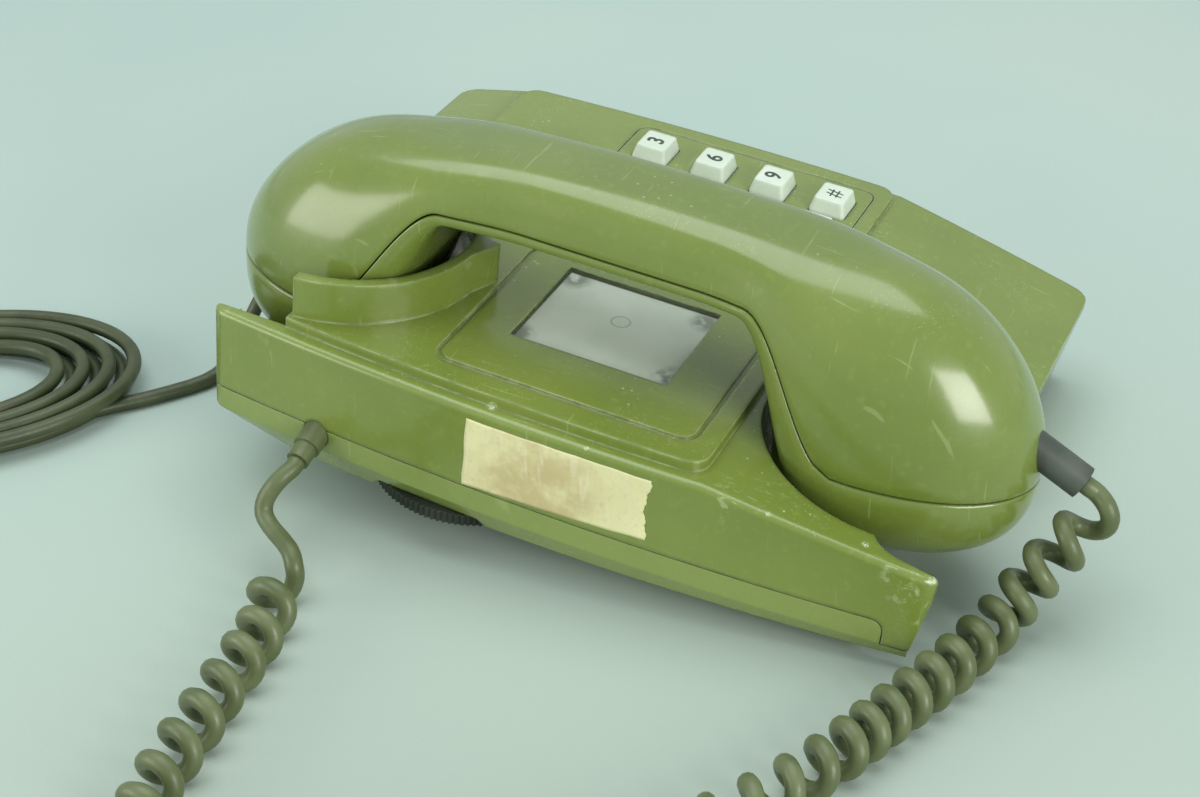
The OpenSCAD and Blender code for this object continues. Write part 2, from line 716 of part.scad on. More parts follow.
// Strain reliefs
module body_boot() {
    color(cord_grey) stand() translate(boot_in) rotate([0, -90 - boot_dip, 0]) {
        translate([0, 0, -3]) cylinder(h = 2, r = 4.6);
        translate([0, 0, -1]) cylinder(h = 10, r = 3.5);
        translate([0, 0, 9]) cylinder(h = boot_l - 9, r = 2.9);
    }
}

module line_gland() {
    color(rubber) stand() translate(gland_at) rotate([-90, 0, 0]) {
        translate([0, 0, -9]) cylinder(h = 9, r = 3.1);
        cylinder(h = 1.6, r = 4.2);
        translate([0, 0, 1.6]) cylinder(h = gland_l - 1.6, r1 = 3.3, r2 = 2.6);
    }
}

module handset_boot() {
    color(rubber) stand() translate(hs_boot_at) rotate([90 + hs_boot_dip, 0, 0])
        cylinder(h = hs_boot_l, r = hs_boot_r);
}

// Handset: both shells are lofted through one list of stations along the length
function end_of(y) = y < mid_hs_y ? mouth_end : ear_end;
function along(y) = abs(y - mid_hs_y);
function tip_t(y) = clip((along(y) - half_l + end_of(y)) / end_of(y), 0, 1);
function round_end(y) = sqrt(1 - pow(tip_t(y), 2.2));
function blunt_end(y) = pow(1 - pow(tip_t(y), 3), 0.333);
function bulb(y) = let (b = half_l - end_of(y)) ease(clip((along(y) - 0.35 * b) / (0.65 * b + 8), 0, 1));
function hs_w(y) = (grip_hw + (end_hw - grip_hw) * bulb(y)) * round_end(y);
function hs_top(y) = seat_z
    + (crown_h - seat_z - (y < mid_hs_y ? 8 : 13) * pow(along(y) / half_l, 2)) * round_end(y);
function hs_n(y) = 5 - 2.7 * bulb(y);
function hs_seam(y) = seat_z + (arch_h + 4.9 - seat_z)
    * (1 - ease(clip((along(y) - half_l + (y < mid_hs_y ? 72.5 : 61.5)) / 29, 0, 1)));
function hs_low(y) = let (b = seat_z * (1 - blunt_end(y)))
    b + (arch_h - b) * (1 - ease(clip((along(y) - half_l + (y < mid_hs_y ? 74.5 : 63.5)) / 25, 0, 1)));
function rim_w(y, w, top) = let (f = clip((hs_seam(y) - seat_z) / max(0.01, top - seat_z), 0, 1))
    w * pow(1 - pow(f, hs_n(y)), 1 / hs_n(y));

hs_steps = concat([for (a = [88, 80, 70, 59, 47, 34, 20, 6]) -half_l + mouth_end * (1 - sin(a))]
    , [for (d = [49, 53, 56.5, 60, 63.5, 67, 70.5, 74, 80, 88, 97]) d - half_l]
    , [0]
    , [for (d = [97, 88, 79, 70, 63, 59.5, 56, 52.5, 49, 45.5]) half_l - d]
    , [for (a = [10, 22, 35, 47, 59, 70, 80, 88]) half_l - ear_end * (1 - sin(a))]);
hs_y = [for (s = hs_steps) mid_hs_y + s];
hs_in_y = [for (s = hs_steps) mid_hs_y + s * (half_l - shell_t) / half_l];
arc_n = 14;
in_n = 8;

// One arc over the top, from the right seam edge to the left
function over(y, w, top, n) = let (p = hs_n(y), zs = hs_seam(y)
    , f = clip((zs - seat_z) / (top - seat_z), 0, 0.98), a0 = asin(pow(f, p / 2)))
    [for (i = [0:n]) let (a = a0 + (180 - 2 * a0) * i / n, c = cos(a))
        [bay_x + w * sign(c) * pow(abs(c), 2 / p), y
            , i == 0 || i == n ? zs : seat_z + (top - seat_z) * pow(sin(a), 2 / p)]];
// One arc under, from the right seam edge to the left
function under(y, w, low, zs, n) = [for (i = [0:n]) let (a = 180 * i / n, c = cos(a))
    [bay_x + w * sign(c) * pow(abs(c), 0.667), y, zs - (zs - low) * pow(sin(a), 0.667)]];

function upper_out(y) = over(y, hs_w(y), hs_top(y), arc_n);
function upper_in(y) = let (w = hs_w(y), h = hs_top(y) - seat_z)
    over(y, max(0.3 * w, w - shell_t), seat_z + max(0.3 * h, h - shell_t), in_n);
function toward_grip(y) = y + (y < mid_hs_y ? 1 : -1) * shell_t;
function lower_out(y) = under(y, rim_w(y, hs_w(y), hs_top(y)), hs_low(y), hs_seam(y) - 0.4, arc_n);
function lower_in(y) = let (w = rim_w(y, hs_w(y), hs_top(y)), zs = hs_seam(y) - 0.4)
    under(y, max(0.3 * w, w - shell_t)
        , min(zs - 0.3 * (zs - hs_low(y)), hs_low(toward_grip(y)) + shell_t), zs, in_n);

// Skin between an outer and an inner list of arcs, closed along the seam and at both tips
module skin(outer, inner, flip) {
    n = len(outer);
    a = arc_n + 1;
    b = in_n + 1;
    o = n * a;
    e = n - 1;
    quads = concat(
        [for (k = [0:n - 2], i = [0:a - 2]) [k * a + i, (k + 1) * a + i, (k + 1) * a + i + 1, k * a + i + 1]]
        , [for (k = [0:n - 2], i = [0:b - 2])
            [o + k * b + i, o + k * b + i + 1, o + (k + 1) * b + i + 1, o + (k + 1) * b + i]]
        , [for (k = [0:n - 2]) [k * a, o + k * b, o + (k + 1) * b, (k + 1) * a]]
        , [for (k = [0:n - 2])
            [k * a + a - 1, (k + 1) * a + a - 1, o + (k + 1) * b + b - 1, o + k * b + b - 1]]);
    halves = [for (q = quads, h = [0, 1]) h == 0 ? [q[0], q[1], q[2]] : [q[0], q[2], q[3]]];
    caps = [[for (i = [0:a - 1]) i], [for (i = [a - 1:-1:0]) e * a + i]
        , [for (i = [b - 1:-1:0]) o + i], [for (i = [0:b - 1]) o + e * b + i]
        , [0, a - 1, o + b - 1, o], [e * a, o + e * b, o + e * b + b - 1, e * a + a - 1]];
    faces = concat(halves, caps);
    polyhedron(concat([for (r = outer, p = r) p], [for (r = inner, p = r) p])
        , flip ? [for (f = faces) [for (i = [len(f) - 1:-1:0]) f[i]]] : faces);
}

module handset_upper() {
    color(olive) stand() skin([for (y = hs_y) upper_out(y)], [for (y = hs_in_y) upper_in(y)], true);
}

module handset_lower() {
    color(olive) stand() skin([for (y = hs_y) lower_out(y)], [for (y = hs_in_y) lower_in(y)], false);
}

// Capsules and balance weight inside the handset
module capsule(y, lift) {
    color(metal) stand() translate([bay_x, y, shell_t + lift]) {
        cylinder(h = 6, r = 5);
        translate([0, 0, 5]) cylinder(h = 7, r = 14);
    }
}

module ear_capsule() {
    capsule(ear_y + 3, 1.4);
}

module mouth_capsule() {
    capsule(mouth_y - 3, 0.8);
}

module handset_weight() {
    color(metal) stand() translate([bay_x - grip_hw + 7.5, mid_hs_y - 20, arch_h + shell_t + 0.5])
        cube([2 * grip_hw - 15, 40, 6]);
}

// Cords: a tube swept along a path without twist
function tangents(p) = [for (i = [0:len(p) - 1]) unit(p[min(i + 1, len(p) - 1)] - p[max(i - 1, 0)])];
function level(u, t) = unit(u - (u * t) * t);
function normals(t, u) = [for (i = 0, v = level(u, t[0]); i < len(t)
    ; i = i + 1, v = i < len(t) ? level(v, t[i]) : v) v];
function spline(p, i, t) = let (a = p[max(i - 1, 0)], b = p[i], c = p[i + 1], d = p[min(i + 2, len(p) - 1)])
    0.5 * (2 * b + t * (c - a) + t * t * (2 * a - 5 * b + 4 * c - d) + t * t * t * (3 * b - a - 3 * c + d));
function smooth(p, n) = [for (i = [0:len(p) - 2], k = [0:n - 1]) spline(p, i, k / n)];
function least_gap(p, skip, d) = let (e = len(p) - 1)
    min([for (i = [0:e], j = [i + skip:1:e]) norm(p[i] - p[j])]) - d;
function path_length(p) = [for (i = 0, s = 0; i < len(p); i = i + 1
    , s = s + (i < len(p) ? norm(p[i] - p[i - 1]) : 0)) s][len(p) - 1];

module tube(p, d, sides) {
    t = tangents(p);
    u = normals(t, [0.1, 0.2, 1]);
    n = len(p);
    points = [for (i = [0:n - 1], k = [0:sides - 1]) let (a = 360 * k / sides)
        p[i] + d / 2 * (cos(a) * u[i] + sin(a) * cross(t[i], u[i]))];
    skin = [for (i = [0:n - 2], k = [0:sides - 1], h = [0, 1])
        let (q = i * sides + k, r = i * sides + (k + 1) % sides)
        h == 0 ? [q, q + sides, r + sides] : [q, r + sides, r]];
    ends = [[for (k = [0:sides - 1]) k], [for (k = [sides - 1:-1:0]) (n - 1) * sides + k]];
    polyhedron(points, concat(skin, ends));
}

// Curls: one turn from each point of the route to the next, the last cut short at the boot
curl_n = len(curl_route) - 1;
curl_steps = 8 * curl_n - 2;
function on_axis(s) = let (i = min(floor(s), curl_n - 1)) spline(curl_route, i, s - i);
curl_points = [for (k = [0:curl_steps]) let (s = k / 8, c = on_axis(s)
    , t = unit(on_axis(min(s + 0.05, curl_n)) - on_axis(max(s - 0.05, 0)))
    , a = unit(cross([0, 0, 1], t)), b = cross(t, a), r = (curl_od - curl_d) / 2)
    c + r * (cos(45 * k) * a - sin(45 * k) * b)];
curl_path = concat(curl_start, curl_points, curl_end);

module curly_cord() {
    echo(curls = curl_steps / 8, least_gap = least_gap(curl_path, 7, curl_d));
    echo(curly_cord_length = path_length(curl_path));
    color(cord_grey) tube(curl_path, curl_d, 6);
}

module line_cord() {
    path = concat(smooth(concat(line_route, [hank_path[0]]), 2), [hank_path[0]]);
    echo(line_cord_length = path_length(path));
    color(cord_grey) tube(path, line_d, 8);
}

// Hank: loops drawn in toward the middle on the table, then out again in a second layer
function hank_lift(s) = line_z + hank_step * ease(clip((s - hank_loops + 0.75) / 0.5, 0, 1));
hank_path = [for (k = [0:24 * (2 * hank_loops - 1)])
    let (s = k / 24, q = min(s, 2 * hank_loops - 1 - s), a = 90 + 15 * k
        , u = (hank_a - hank_spread * q) * cos(a) * hank_u
        , v = (hank_b - hank_step * q) * sin(a) * hank_v)
    concat(hank_mid + u + v, [hank_lift(s)])];

module line_cord_hank() {
    echo(hank_gap = least_gap(hank_path, 12, line_d), length = path_length(hank_path));
    color(cord_grey) tube(concat(hank_path, hank_out), line_d, 6);
}

module line_plug() {
    color([0.8, 0.82, 0.8]) translate([plug_at[0], plug_at[1], line_z]) rotate([0, 0, plug_dir]) {
        translate([0, -3.3, -line_d / 2 - 0.1]) cube([12, 6.6, 6.6]);
        translate([1, -1.6, 4.4]) cube([11, 3.2, 1]);
    }
}

upper_housing();
base_shell();
keypad_plate();
card_window();
index_card();
key_1();
key_2();
key_3();
key_4();
key_5();
key_6();
key_7();
key_8();
key_9();
key_star();
key_0();
key_hash();
key_mat();
keypad_board();
board_posts();
main_board();
ringer();
hook_plunger();
hook_switch();
volume_wheel();
wheel_axle();
volume_control();
feet();
base_screws();
board_screws();
body_boot();
line_gland();
handset_upper();
handset_lower();
ear_capsule();
mouth_capsule();
handset_weight();
handset_boot();
curly_cord();
line_cord();
line_cord_hank();
line_plug();
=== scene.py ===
"""Looks of the push-button desk telephone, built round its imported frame.

x is right, y is back, z is up. Lengths of the object are in millimetres; sizes that go straight into
a Blender setting (shader radii, type, lights, camera) are in metres.
"""

import math

import bmesh
import bpy
import numpy as np
from mathutils import Matrix, Vector


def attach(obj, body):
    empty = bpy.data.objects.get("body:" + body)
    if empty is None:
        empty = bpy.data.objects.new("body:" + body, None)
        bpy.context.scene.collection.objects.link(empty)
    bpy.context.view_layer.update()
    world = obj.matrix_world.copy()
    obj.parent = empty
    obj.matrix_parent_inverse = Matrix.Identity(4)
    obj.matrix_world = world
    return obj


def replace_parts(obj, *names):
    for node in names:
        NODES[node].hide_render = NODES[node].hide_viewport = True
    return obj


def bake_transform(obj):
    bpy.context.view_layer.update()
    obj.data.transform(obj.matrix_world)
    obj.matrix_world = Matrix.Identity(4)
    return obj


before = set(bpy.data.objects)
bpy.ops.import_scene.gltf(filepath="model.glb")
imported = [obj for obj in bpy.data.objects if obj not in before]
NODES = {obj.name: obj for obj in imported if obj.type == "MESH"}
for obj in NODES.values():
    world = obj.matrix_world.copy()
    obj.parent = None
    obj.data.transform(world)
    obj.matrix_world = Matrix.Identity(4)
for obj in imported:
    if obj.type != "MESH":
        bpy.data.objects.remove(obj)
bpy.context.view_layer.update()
MM = 0.001

# Slab frame, as in the construction: x from the left corner, y from the front edge, z from the seam
TILT = math.radians(6)
BODY_W, BODY_L, SIDE_BOW = 139.5, 191.0, 5.5
BAY_X, SEAT_Z = 38.5, 23.6
MID_HS_Y = BODY_L / 2 - 0.7
SEAM_Z = 12.3
MID_X = BODY_W / 2
MID_Y = MID_HS_Y * math.cos(TILT) - SEAT_Z * math.sin(TILT)
ORIGIN = np.array([-MID_X, -MID_Y, SEAM_Z])


def turn(p):
    """Slab directions as directions of the object frame."""
    c, s = math.cos(TILT), math.sin(TILT)
    p = np.asarray(p, float)
    return np.stack([p[..., 0], p[..., 1] * c - p[..., 2] * s, p[..., 1] * s + p[..., 2] * c], -1)


def to_object(p):
    """Slab millimetres to object millimetres."""
    return turn(p) + ORIGIN


def to_slab(p):
    """Object millimetres to slab millimetres."""
    c, s = math.cos(TILT), math.sin(TILT)
    x, y, z = np.asarray(p, float) - ORIGIN
    return np.array([x, y * c + z * s, z * c - y * s])


def side_x(y):
    """Slab x of the bowed left side."""
    return -SIDE_BOW * (1 - (2 * y / BODY_L - 1) ** 2)


def ease(t):
    t = np.clip(t, 0, 1)
    return t * t * (3 - 2 * t)


def unit(v):
    return v / np.linalg.norm(v)


def add(name, data):
    """A new object in the scene."""
    obj = bpy.data.objects.new(name, data)
    bpy.context.scene.collection.objects.link(obj)
    return obj


def new_mesh(name, verts, faces, mat):
    """A smooth mesh object from object-frame millimetres."""
    me = bpy.data.meshes.new(name)
    me.from_pydata([tuple(np.asarray(v) * MM) for v in verts], [], faces)
    me.validate()
    me.update()
    me.polygons.foreach_set("use_smooth", [True] * len(me.polygons))
    me.materials.append(mat)
    return add(name, me)


def grid(rows, cols, first=0, inward=False):
    """Quads over rows of cols + 1 points each, counted from the vertex first."""
    w = cols + 1
    corners = [first + j * w + i for j in range(rows) for i in range(cols)]
    if inward:
        return [(p, p + 1, p + w + 1, p + w) for p in corners]
    return [(p, p + w, p + w + 1, p + 1) for p in corners]


# Camera, solved from the photograph
CAMERA_AT, LENS, SENSOR_W = (-0.45875, -0.1864, 0.3325), 66.3, 36
YAW, PITCH, ROLL = math.radians(24.38), math.radians(33.0), math.radians(-0.36)


def add_camera():
    ahead = Vector((math.cos(PITCH) * math.cos(YAW), math.cos(PITCH) * math.sin(YAW), -math.sin(PITCH)))
    right = Vector((math.sin(YAW), -math.cos(YAW), 0))
    up = right.cross(ahead)
    rolled_right = right * math.cos(ROLL) + up * math.sin(ROLL)
    rolled_up = up * math.cos(ROLL) - right * math.sin(ROLL)
    data = bpy.data.cameras.new("camera")
    data.sensor_width = SENSOR_W
    data.lens = LENS
    cam = add("camera", data)
    m = Matrix((rolled_right, rolled_up, -ahead)).transposed().to_4x4()
    m.translation = Vector(CAMERA_AT)
    cam.matrix_world = m
    bpy.context.scene.camera = cam


add_camera()


# Shaders
class Shader:
    """A small builder: each call adds its nodes and returns their output."""

    MIX_A, MIX_B, MIX_OUT = 6, 7, 2  # colour sockets of the Mix node
    SAMPLES = 6  # of the Bevel and Ambient Occlusion nodes

    def __init__(self, name):
        self.mat = bpy.data.materials.new(name)
        self.mat.use_nodes = True
        self.t = self.mat.node_tree
        self.bsdf = self.t.nodes["Principled BSDF"]
        self.pos = self.node("ShaderNodeTexCoord").outputs["Object"]

    def node(self, kind, **props):
        n = self.t.nodes.new(kind)
        for k, v in props.items():
            setattr(n, k, v)
        return n

    def link(self, out, socket):
        """Links an output to a socket, or sets the socket to a constant."""
        if hasattr(out, "is_linked"):
            self.t.links.new(out, socket)
        else:
            socket.default_value = out

    def noise(self, scale, detail=3.0, rough=0.5, stretch=(1, 1, 1), rot=(0, 0, 0), distort=0.0):
        m = self.node("ShaderNodeMapping")
        m.inputs["Scale"].default_value = stretch
        m.inputs["Rotation"].default_value = rot
        self.link(self.pos, m.inputs["Vector"])
        n = self.node("ShaderNodeTexNoise")
        n.inputs["Scale"].default_value = scale
        n.inputs["Detail"].default_value = detail
        n.inputs["Roughness"].default_value = rough
        n.inputs["Distortion"].default_value = distort
        self.link(m.outputs[0], n.inputs["Vector"])
        return n.outputs["Fac"]

    def cells(self, scale):
        n = self.node("ShaderNodeTexVoronoi", feature="F1")
        n.inputs["Scale"].default_value = scale
        self.link(self.pos, n.inputs["Vector"])
        return n.outputs["Distance"]

    def ramp(self, fac, start, end, low=0.0, high=1.0):
        n = self.node("ShaderNodeMapRange", interpolation_type="SMOOTHSTEP")
        self.link(fac, n.inputs["Value"])
        n.inputs["From Min"].default_value = start
        n.inputs["From Max"].default_value = end
        n.inputs["To Min"].default_value = low
        n.inputs["To Max"].default_value = high
        return n.outputs[0]

    def math(self, op, a, b=0.0):
        n = self.node("ShaderNodeMath", operation=op)
        self.link(a, n.inputs[0])
        self.link(b, n.inputs[1])
        return n.outputs[0]

    def times(self, a, b):
        return self.math("MULTIPLY", a, b)

    def mix(self, fac, a, b):
        n = self.node("ShaderNodeMix", data_type="RGBA")
        self.link(fac, n.inputs["Factor"])
        for value, key in ((a, self.MIX_A), (b, self.MIX_B)):
            if isinstance(value, tuple):
                n.inputs[key].default_value = (*value, 1.0)
            else:
                self.link(value, n.inputs[key])
        return n.outputs[self.MIX_OUT]

    def distance(self, point):
        """Metres to a point of the object frame (mm)."""
        n = self.node("ShaderNodeVectorMath", operation="DISTANCE")
        self.link(self.pos, n.inputs[0])
        n.inputs[1].default_value = tuple(np.asarray(point) * MM)
        return n.outputs["Value"]

    def near(self, point, radius):
        """1 close to a point of the object frame (mm), falling to 0 at the radius (mm)."""
        return self.ramp(self.distance(point), radius * MM, radius * 0.25 * MM)

    def ring(self, point, radius, width):
        """1 on a thin circle round a point of the object frame (mm)."""
        off = self.math("ABSOLUTE", self.math("SUBTRACT", self.distance(point), radius * MM))
        return self.ramp(off, width * MM, width * 0.4 * MM)

    def rounded(self, radius):
        """The normal with the edges rounded."""
        n = self.node("ShaderNodeBevel", samples=self.SAMPLES)
        n.inputs["Radius"].default_value = radius
        return n.outputs[0]

    def edges(self, radius):
        """1 along the sharp edges of a moulding."""
        smooth = self.rounded(radius)
        g = self.node("ShaderNodeNewGeometry")
        d = self.node("ShaderNodeVectorMath", operation="DOT_PRODUCT")
        self.link(smooth, d.inputs[0])
        self.link(g.outputs["Normal"], d.inputs[1])
        return self.ramp(d.outputs["Value"], 0.97, 0.80)

    def creases(self, distance):
        """1 deep in grooves and corners."""
        n = self.node("ShaderNodeAmbientOcclusion", samples=self.SAMPLES)
        n.inputs["Distance"].default_value = distance
        return self.ramp(n.outputs["AO"], 0.62, 0.25)

    def upward(self):
        """1 on faces that look up."""
        g = self.node("ShaderNodeNewGeometry")
        s = self.node("ShaderNodeSeparateXYZ")
        self.link(g.outputs["Normal"], s.inputs[0])
        return self.ramp(s.outputs["Z"], 0.5, 0.9)

    def bump(self, height, strength, distance, rounding=0.0):
        n = self.node("ShaderNodeBump")
        n.inputs["Strength"].default_value = strength
        n.inputs["Distance"].default_value = distance
        self.link(height, n.inputs["Height"])
        if rounding:
            self.link(self.rounded(rounding), n.inputs["Normal"])
        self.link(n.outputs[0], self.bsdf.inputs["Normal"])

    def done(self, color, rough, coat=0.0, metallic=0.0, specular=0.5, blur=0.12):
        self.link(color, self.bsdf.inputs["Base Color"])
        self.link(rough, self.bsdf.inputs["Roughness"])
        self.bsdf.inputs["Coat Weight"].default_value = coat
        self.bsdf.inputs["Coat Roughness"].default_value = blur
        self.bsdf.inputs["Metallic"].default_value = metallic
        self.bsdf.inputs["Specular IOR Level"].default_value = specular
        return self.mat


# Tones of age on the olive mouldings, one of them also a painted shade for their creases
SCRATCHED, GRIME_AND_SHADE, DUSTY = (0.36, 0.42, 0.2), (0.045, 0.05, 0.018), (0.62, 0.66, 0.5)
RUBBED, CHIPPED, SCUFFED = (0.42, 0.48, 0.22), (0.58, 0.63, 0.45), (0.56, 0.60, 0.42)
EDGE = 0.0008  # width of worn or dark edges


def olive(name, base, deep, chips=(), scuffs=(), rounding=0.0, gloss=0.27, coat=0.7, blur=0.12,
          dust=0.5, wear=0.0, grime_and_shade=0.0):
    """Old glossy moulding: clouded colour, hairline scratches, grime with painted shade in the creases,
    dust, worn edges, chips, scuffs.
    """
    s = Shader(name)
    color = s.mix(s.ramp(s.noise(22, 4), 0.35, 0.68), base, deep)
    paler = tuple(min(1, c * 1.5 + 0.02) for c in base)
    color = s.mix(s.ramp(s.noise(420, 2), 0.55, 0.8, 0.0, 0.18), color, paler)
    scratch_a = s.ramp(s.noise(60, 2, 0.5, (1, 16, 1), (0.2, 0.4, 0.7)), 0.70, 0.74)
    scratch_b = s.ramp(s.noise(60, 2, 0.5, (14, 1, 1), (0.5, 0.1, 1.3)), 0.71, 0.75)
    lines = s.math("MAXIMUM", scratch_a, scratch_b)
    color = s.mix(s.times(lines, 0.22), color, SCRATCHED)
    if grime_and_shade:
        # painted shade: darker where ambient occlusion finds creases and corners, made patchy like grime
        crease_shade_and_grime = s.times(s.creases(0.004), s.ramp(s.noise(160, 4), 0.3, 0.6, grime_and_shade * 0.5, grime_and_shade))
        color = s.mix(crease_shade_and_grime, color, GRIME_AND_SHADE)
    speck = s.times(s.ramp(s.cells(330), 0.13, 0.06), s.ramp(s.noise(38, 2), 0.5, 0.62))
    fluff = s.times(s.ramp(s.cells(1000), 0.24, 0.10), s.ramp(s.noise(70, 3), 0.50, 0.60))
    speck = s.math("MAXIMUM", speck, s.times(fluff, 0.5))
    color = s.mix(s.times(speck, s.times(s.upward(), dust)), color, DUSTY)
    if wear:
        rub = s.times(s.edges(EDGE), s.ramp(s.noise(130, 4, 0.65), 0.40, 0.60, 0.2, wear))
        color = s.mix(rub, color, RUBBED)
    for point, radius in chips:
        patch = s.near(to_object(point), radius)
        flakes = s.ramp(s.noise(1500, 5, 0.75, distort=1.5), 0.46, 0.54)
        color = s.mix(s.times(patch, flakes), color, CHIPPED)
    for point, radius in scuffs:
        streak = s.ramp(s.noise(240, 5, 0.7, (4, 1, 1), (0.1, 0.2, 0.6), 0.8), 0.54, 0.66)
        patch = s.times(s.near(to_object(point), radius), streak)
        color = s.mix(s.times(patch, 0.35), color, SCUFFED)
    rough = s.ramp(s.noise(90, 3), 0.3, 0.7, gloss - 0.06, gloss + 0.07)
    rough = s.math("ADD", rough, s.times(lines, 0.2))
    s.bump(s.math("ADD", s.noise(700, 2), s.times(lines, -0.6)), 0.035, 0.0004, rounding)
    return s.done(color, rough, coat, specular=0.4, blur=blur)


def plain(name, a, b, scale, rough, rounding=0.0, bump=0.05, metallic=0.0):
    """Any other moulding, rubber or metal: two mixed tones with a fine grain."""
    s = Shader(name)
    color = s.mix(s.ramp(s.noise(scale, 4), 0.35, 0.65), a, b)
    uneven = s.ramp(s.noise(scale * 6, 3), 0.3, 0.7, rough - 0.06, rough + 0.08)
    s.bump(s.noise(1500, 3), bump, 0.0003, rounding)
    return s.done(color, uneven, metallic=metallic, specular=0.4)


def clear_cover():
    """Thin clear sheet with smears."""
    s = Shader("clear_cover")
    color = s.mix(s.ramp(s.noise(60, 4), 0.4, 0.7), (0.15, 0.18, 0.13), (0.10, 0.12, 0.085))
    mat = s.done(color, s.ramp(s.noise(140, 3), 0.3, 0.7, 0.03, 0.09))
    s.bsdf.inputs["Alpha"].default_value = 0.10
    return mat


def card_face():
    """Grey card with darker tape marks at its corners, a faint ring and a painted shadow round its border
    for the shaded gap under the window.
    """
    tape_tone, ring_tone, gap_shadow_tone = (0.10, 0.12, 0.085), (0.16, 0.30, 0.12), (0.04, 0.05, 0.03)
    s = Shader("card")
    color = s.mix(s.ramp(s.noise(45, 4), 0.35, 0.65), (0.76, 0.82, 0.70), (0.67, 0.73, 0.61))
    for x, y in ((28, 120), (58, 118), (30, 80), (57, 81)):
        tape = s.times(s.near(to_object([x, y, 24]), 6), s.ramp(s.noise(220, 3), 0.35, 0.55))
        color = s.mix(s.times(tape, 0.7), color, tape_tone)
    color = s.mix(s.times(s.ring(to_object([45.8, 99.7, 24.3]), 2.4, 0.35), 0.5), color, ring_tone)
    # painted shadow: a dark line along the card's edges where the gap round it is in shade
    color = s.mix(s.times(s.edges(EDGE), 0.9), color, gap_shadow_tone)
    s.bump(s.noise(1500, 3), 0.05, 0.0003)
    return s.done(color, 0.6, specular=0.3)


def aged_paper():
    """Bare yellowed paper with brown stains and fine creases."""
    stain_tone, fold_tone, fleck_tone = (0.36, 0.25, 0.10), (0.70, 0.64, 0.47), (0.35, 0.29, 0.18)
    s = Shader("aged_paper")
    color = s.mix(s.ramp(s.noise(30, 4), 0.35, 0.65), (0.72, 0.69, 0.40), (0.62, 0.59, 0.33))
    stain = s.times(s.near(to_object([-5.3, 98, 6]), 26), s.ramp(s.noise(70, 5, 0.6), 0.38, 0.62))
    color = s.mix(s.times(stain, 0.6), color, stain_tone)
    fold = s.ramp(s.noise(55, 3, 0.5, (1, 6, 1), (0.3, 0, 0.2)), 0.60, 0.68)
    color = s.mix(s.times(fold, 0.35), color, fold_tone)
    color = s.mix(s.ramp(s.noise(900, 3), 0.5, 0.8, 0.0, 0.25), color, fleck_tone)
    s.bump(s.math("ADD", s.noise(240, 4), s.times(fold, 0.8)), 0.12, 0.0004)
    return s.done(color, 0.55, specular=0.35)


# Chips and scuffs of the housing: slab point and radius
CHIPS = [([2.1, 18.7, 17.2], 1.3), ([-2.8, 41, 20.6], 1.0), ([-1.6, 112, 22.7], 1.7),
         ([-4.6, 86, 22.7], 0.9), ([1.0, 1.5, 14.6], 1.8), ([1.6, 2.2, -3.5], 2.0)]
SCUFFS = [([3, 9, 15.8], 12), ([0, 48, 21.5], 12), ([-1, 3, 6], 9)]

HOUSING = olive("olive_housing", (0.170, 0.221, 0.041), (0.138, 0.188, 0.029), CHIPS, SCUFFS,
                rounding=0.0015, wear=0.9, grime_and_shade=0.8, dust=0.55)
HANDSET = olive("olive_handset", (0.152, 0.199, 0.038), (0.124, 0.171, 0.027),
                gloss=0.26, coat=0.8, blur=0.15, dust=0.35, grime_and_shade=0.6)
UNDER = olive("olive_base", (0.200, 0.256, 0.062), (0.170, 0.224, 0.048),
              rounding=0.0008, gloss=0.30, grime_and_shade=0.5)
KEYS = plain("key_cap", (0.61, 0.67, 0.57), (0.54, 0.61, 0.50), 60, 0.34, rounding=0.0010, bump=0.03)
INK = plain("key_ink", (0.035, 0.045, 0.035), (0.06, 0.07, 0.055), 300, 0.5)
BLACK = plain("black_moulding", (0.013, 0.019, 0.013), (0.025, 0.032, 0.024), 80, 0.42, rounding=0.0003)
RUBBER = plain("dark_rubber", (0.045, 0.055, 0.044), (0.068, 0.080, 0.064), 120, 0.5,
               rounding=0.0006, bump=0.12)
CORD = plain("cord_jacket", (0.084, 0.105, 0.042), (0.116, 0.140, 0.062), 90, 0.38, bump=0.06)
DARK_CORD = plain("line_jacket", (0.040, 0.052, 0.020), (0.058, 0.070, 0.030), 90, 0.42, bump=0.06)
STEEL = plain("steel", (0.55, 0.55, 0.53), (0.42, 0.42, 0.41), 200, 0.32,
              rounding=0.0002, bump=0.03, metallic=1.0)
BOARD = plain("circuit_board", (0.03, 0.11, 0.045), (0.05, 0.15, 0.06), 90, 0.4)
MAT = plain("key_mat", (0.5, 0.5, 0.46), (0.42, 0.42, 0.39), 120, 0.6)
PLUG = plain("plug", (0.62, 0.66, 0.62), (0.5, 0.55, 0.5), 150, 0.25, rounding=0.0004)
COVER, CARD, PAPER = clear_cover(), card_face(), aged_paper()

# CAD nodes that show as they are
KEY_ROWS = [["star", "0", "hash"], ["7", "8", "9"], ["4", "5", "6"], ["1", "2", "3"]]
LOOK = {"keypad_plate": HOUSING, "base_shell": UNDER, "board_posts": UNDER, "card_window": COVER,
        "index_card": CARD, "key_mat": MAT, "keypad_board": BOARD, "main_board": BOARD,
        "ringer": BLACK, "hook_plunger": BLACK, "hook_switch": BLACK, "volume_wheel": BLACK,
        "wheel_axle": STEEL, "volume_control": STEEL, "base_screws": STEEL, "board_screws": STEEL,
        "ear_capsule": STEEL, "mouth_capsule": STEEL, "handset_weight": STEEL, "feet": RUBBER,
        "line_gland": RUBBER, "handset_boot": RUBBER, "body_boot": CORD, "line_plug": PLUG}
LOOK.update({"key_" + label: KEYS for row in KEY_ROWS for label in row})

for name, mat in LOOK.items():
    NODES[name].data.materials.clear()
    NODES[name].data.materials.append(mat)

